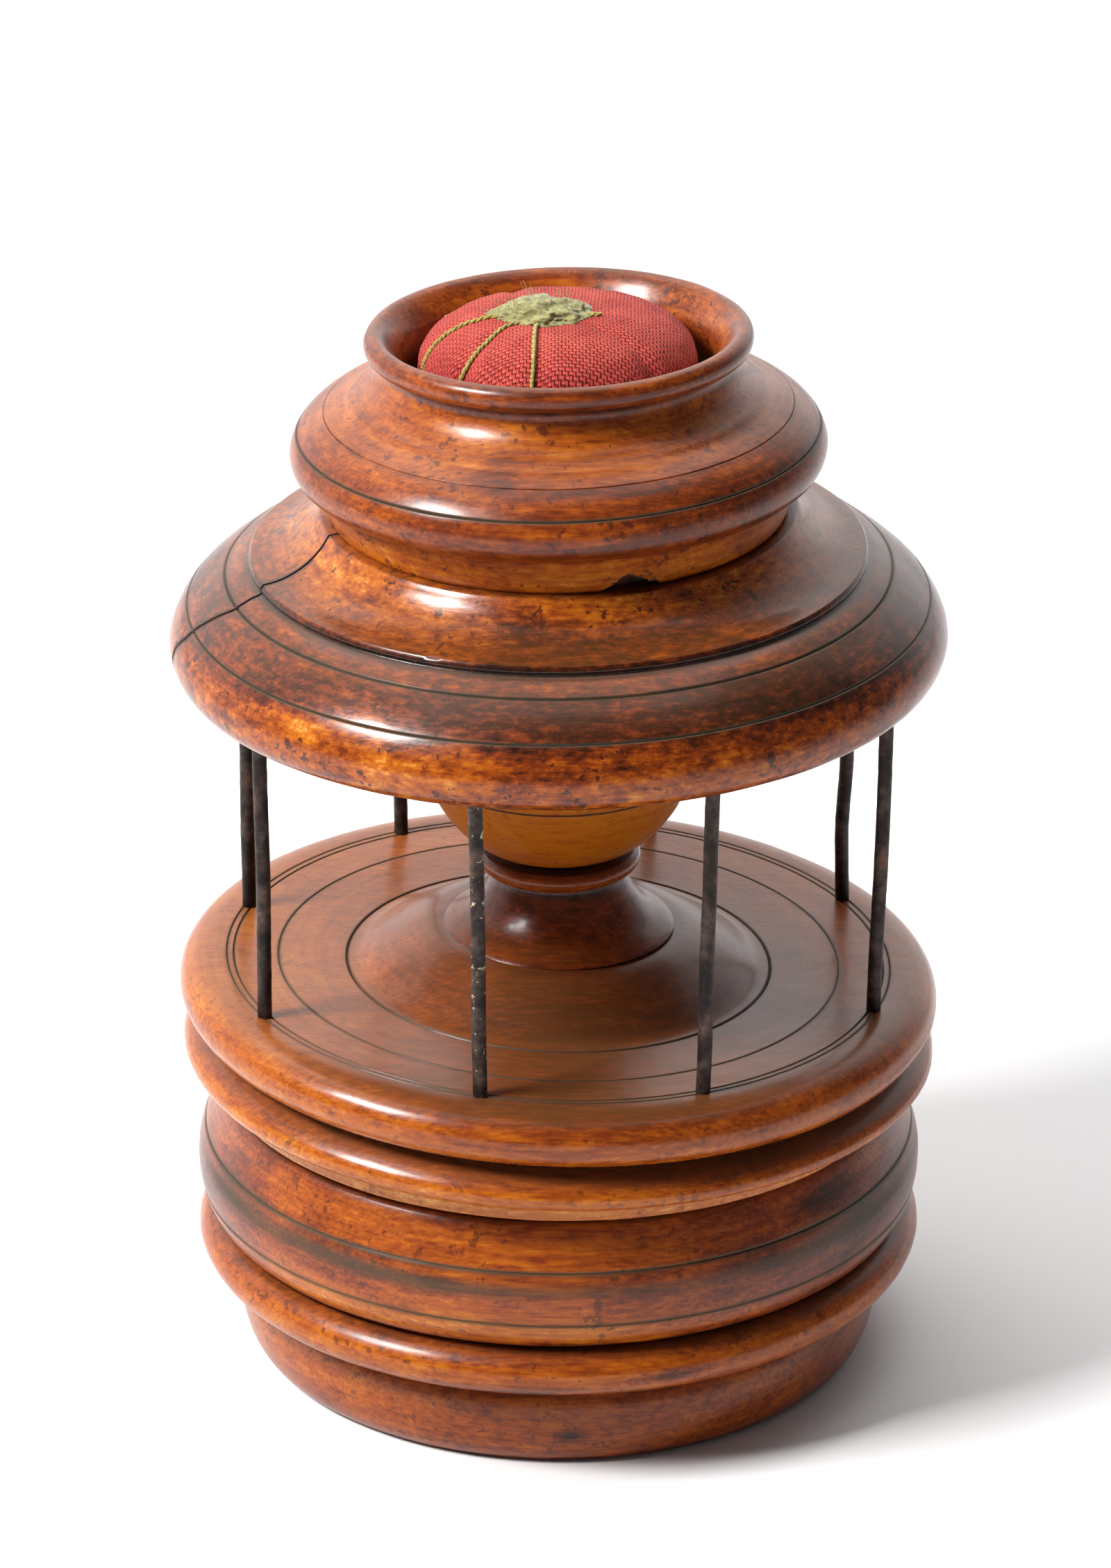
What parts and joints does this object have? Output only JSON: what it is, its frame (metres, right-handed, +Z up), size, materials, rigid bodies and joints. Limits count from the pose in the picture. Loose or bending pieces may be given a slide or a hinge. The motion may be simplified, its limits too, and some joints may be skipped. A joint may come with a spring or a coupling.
{
  "type": "turned sewing stand",
  "caption": "Turned wooden sewing stand with a lift-out tray, a ring of wire reel spindles under a canopy, and a lidded well topped by a pincushion.",
  "frame": {"origin": "middle of the flat foot, on the surface the stand rests on", "axes": "+Z up along the turning axis, -Y towards the front"},
  "size_m": [0.1018, 0.1018, 0.147],
  "materials": {
    "fruitwood": "polished",
    "amber_wood": "polished",
    "steel_wire": "tarnished",
    "red_cloth": "matte",
    "embroidery_thread": "satin",
    "felted_wool": "matte"
  },
  "bodies": {
    "bowl": {"base_bowl": "fruitwood"},
    "tray": {"drum_tray": "fruitwood"},
    "platform": {"platform_lid": "fruitwood", "pillar": "fruitwood", "spindle_1": "steel_wire", "spindle_2": "steel_wire", "spindle_3": "steel_wire", "spindle_4": "steel_wire", "spindle_5": "steel_wire", "spindle_6": "steel_wire", "spindle_7": "steel_wire", "spindle_8": "steel_wire"},
    "canopy": {"canopy": "fruitwood", "thimble_cup": "amber_wood"},
    "cap": {"pincushion_lid": "fruitwood", "pincushion_pad": "red_cloth", "thread_1": "embroidery_thread", "thread_2": "embroidery_thread", "thread_3": "embroidery_thread", "thread_4": "embroidery_thread", "thread_5": "embroidery_thread", "thread_6": "embroidery_thread", "thread_7": "embroidery_thread", "thread_8": "embroidery_thread", "wool_tuft": "felted_wool"}
  },
  "joints": [
    {"name": "tray_lift", "type": "slide", "parent": "bowl", "child": "tray", "axis": [0, 0, 1], "range_m": [0, 0.03]},
    {"name": "lid_lift", "type": "slide", "parent": "tray", "child": "platform", "axis": [0, 0, 1], "range_m": [0, 0.03]},
    {"name": "canopy_lift", "type": "slide", "parent": "platform", "child": "canopy", "axis": [0, 0, 1], "range_m": [0, 0.06]},
    {"name": "pincushion_lift", "type": "slide", "parent": "canopy", "child": "cap", "axis": [0, 0, 1], "range_m": [0, 0.03]}
  ]
}
